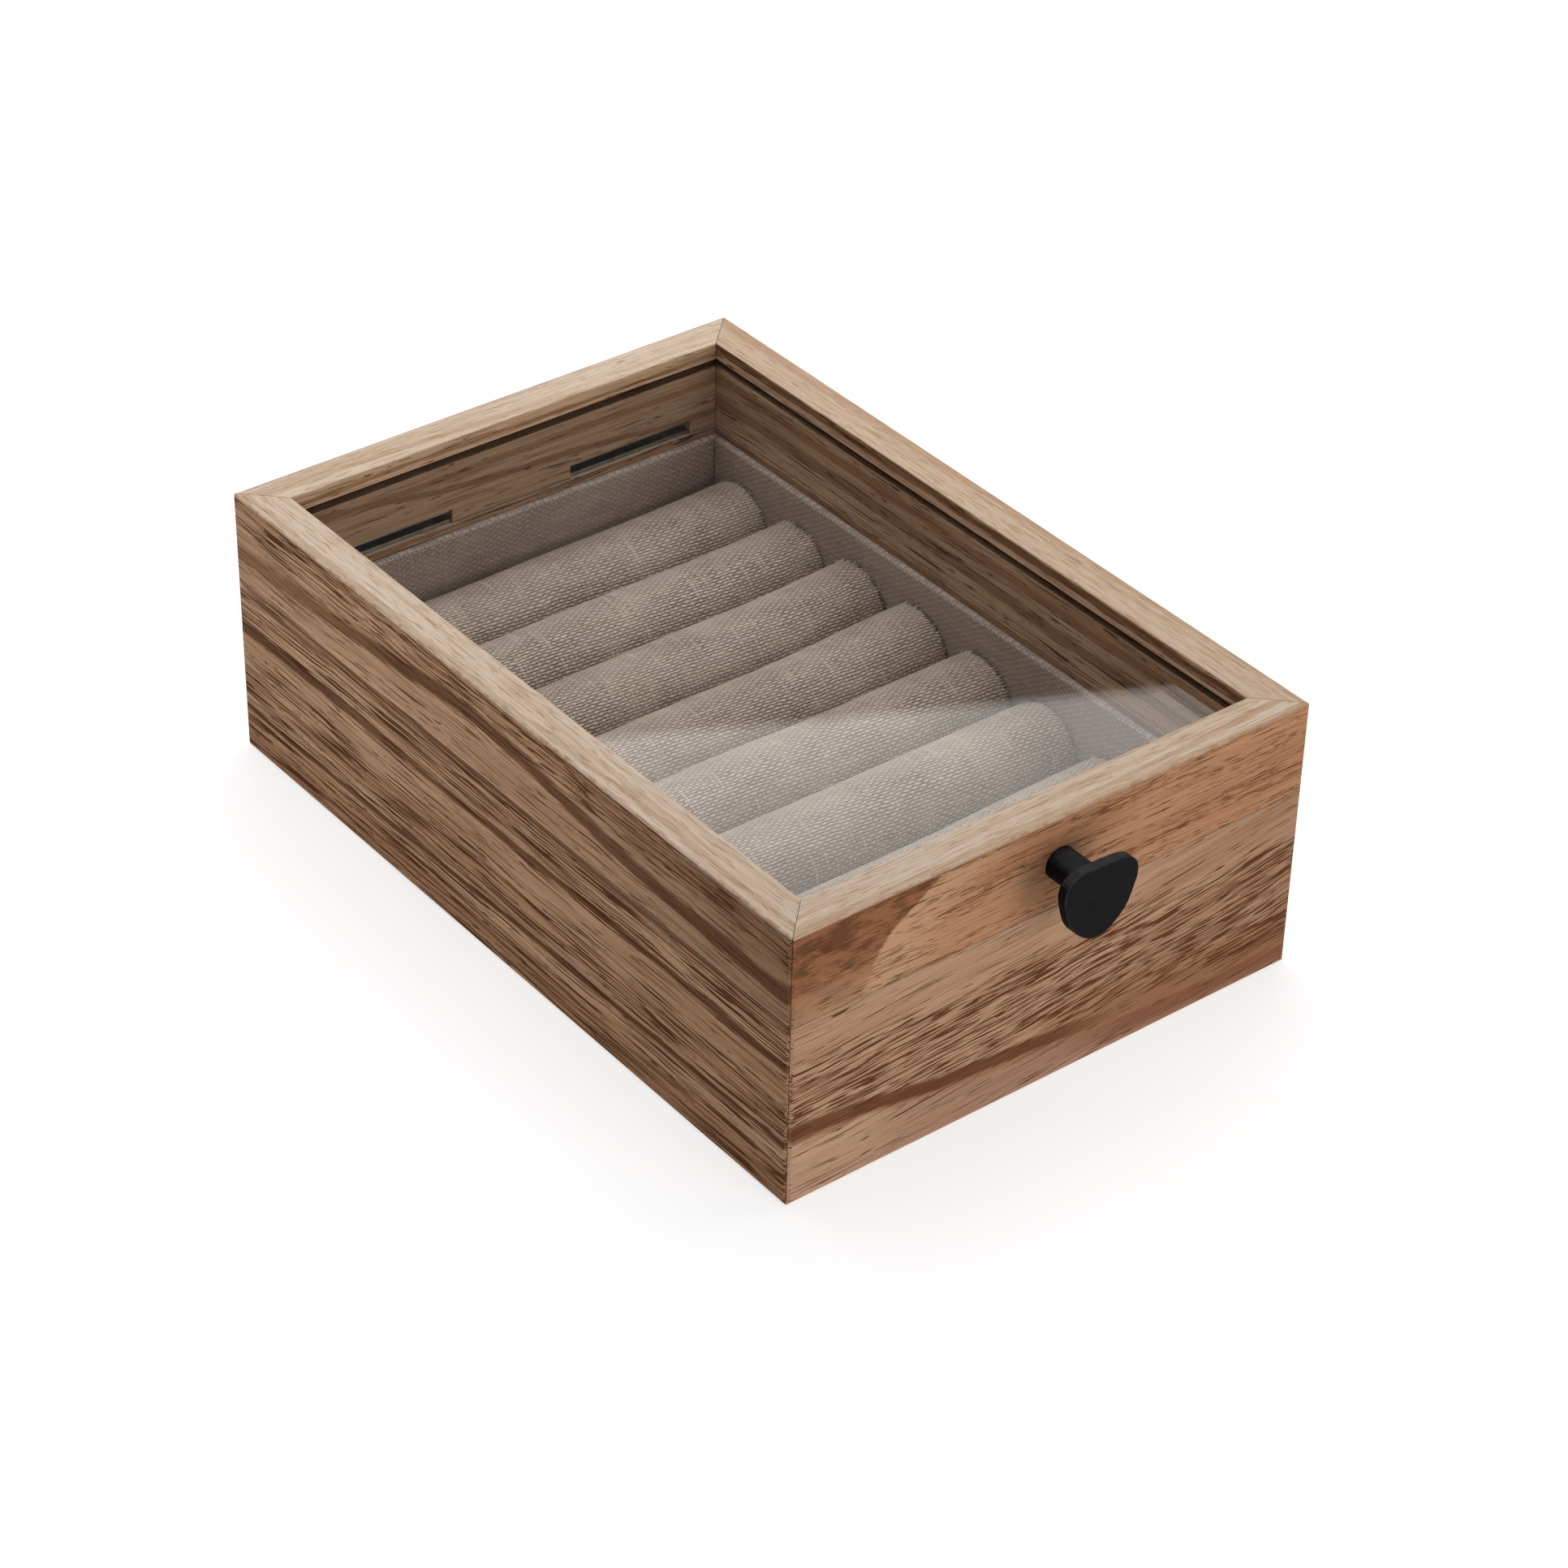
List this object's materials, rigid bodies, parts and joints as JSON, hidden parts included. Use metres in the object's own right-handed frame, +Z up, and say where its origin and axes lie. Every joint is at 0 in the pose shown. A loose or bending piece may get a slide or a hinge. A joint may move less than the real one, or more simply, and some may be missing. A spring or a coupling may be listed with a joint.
{
  "type": "ring display box",
  "caption": "Wooden ring display box with a hinged glass lid, round padded linen rolls that hold rings in the gaps between them, a grey lining and a small black knob.",
  "frame": {"origin": "the middle of the underside of the case, where it stands", "axes": "+X to the right seen from the front, +Y from the knob towards the hinges, +Z up"},
  "size_m": [0.142, 0.2276, 0.07],
  "materials": {
    "wood_side_grain": "matte",
    "wood_front_grain": "matte",
    "plywood": "matte",
    "roll_linen": "matte",
    "lining_cloth": "matte",
    "clear_glass": "polished",
    "hinge_steel": "satin",
    "black_knob": "matte"
  },
  "bodies": {
    "base": {"base_front_board": "wood_front_grain", "base_rear_board": "wood_front_grain", "base_left_board": "wood_side_grain", "base_right_board": "wood_side_grain", "bottom_panel": "plywood", "floor_lining": "lining_cloth", "lining_front": "lining_cloth", "lining_rear": "lining_cloth", "lining_left": "lining_cloth", "lining_right": "lining_cloth", "ring_roll_1": "roll_linen", "ring_roll_2": "roll_linen", "ring_roll_3": "roll_linen", "ring_roll_4": "roll_linen", "ring_roll_5": "roll_linen", "ring_roll_6": "roll_linen", "ring_roll_7": "roll_linen", "ring_roll_8": "roll_linen", "hinge_left_base_leaf": "hinge_steel", "hinge_right_base_leaf": "hinge_steel", "hinge_left_pin": "hinge_steel", "hinge_right_pin": "hinge_steel", "hinge_base_screws": "hinge_steel"},
    "lid": {"lid_front_board": "wood_front_grain", "lid_rear_board": "wood_front_grain", "lid_left_board": "wood_side_grain", "lid_right_board": "wood_side_grain", "glass_pane": "clear_glass", "hinge_left_lid_leaf": "hinge_steel", "hinge_right_lid_leaf": "hinge_steel", "hinge_lid_screws": "hinge_steel", "knob": "black_knob", "knob_screw": "hinge_steel"}
  },
  "joints": [
    {"name": "lid_hinge", "type": "hinge", "parent": "base", "child": "lid", "pos_m": [0, 0.1073, 0.049], "axis": [-1, 0, 0], "range_deg": [0, 180]}
  ]
}
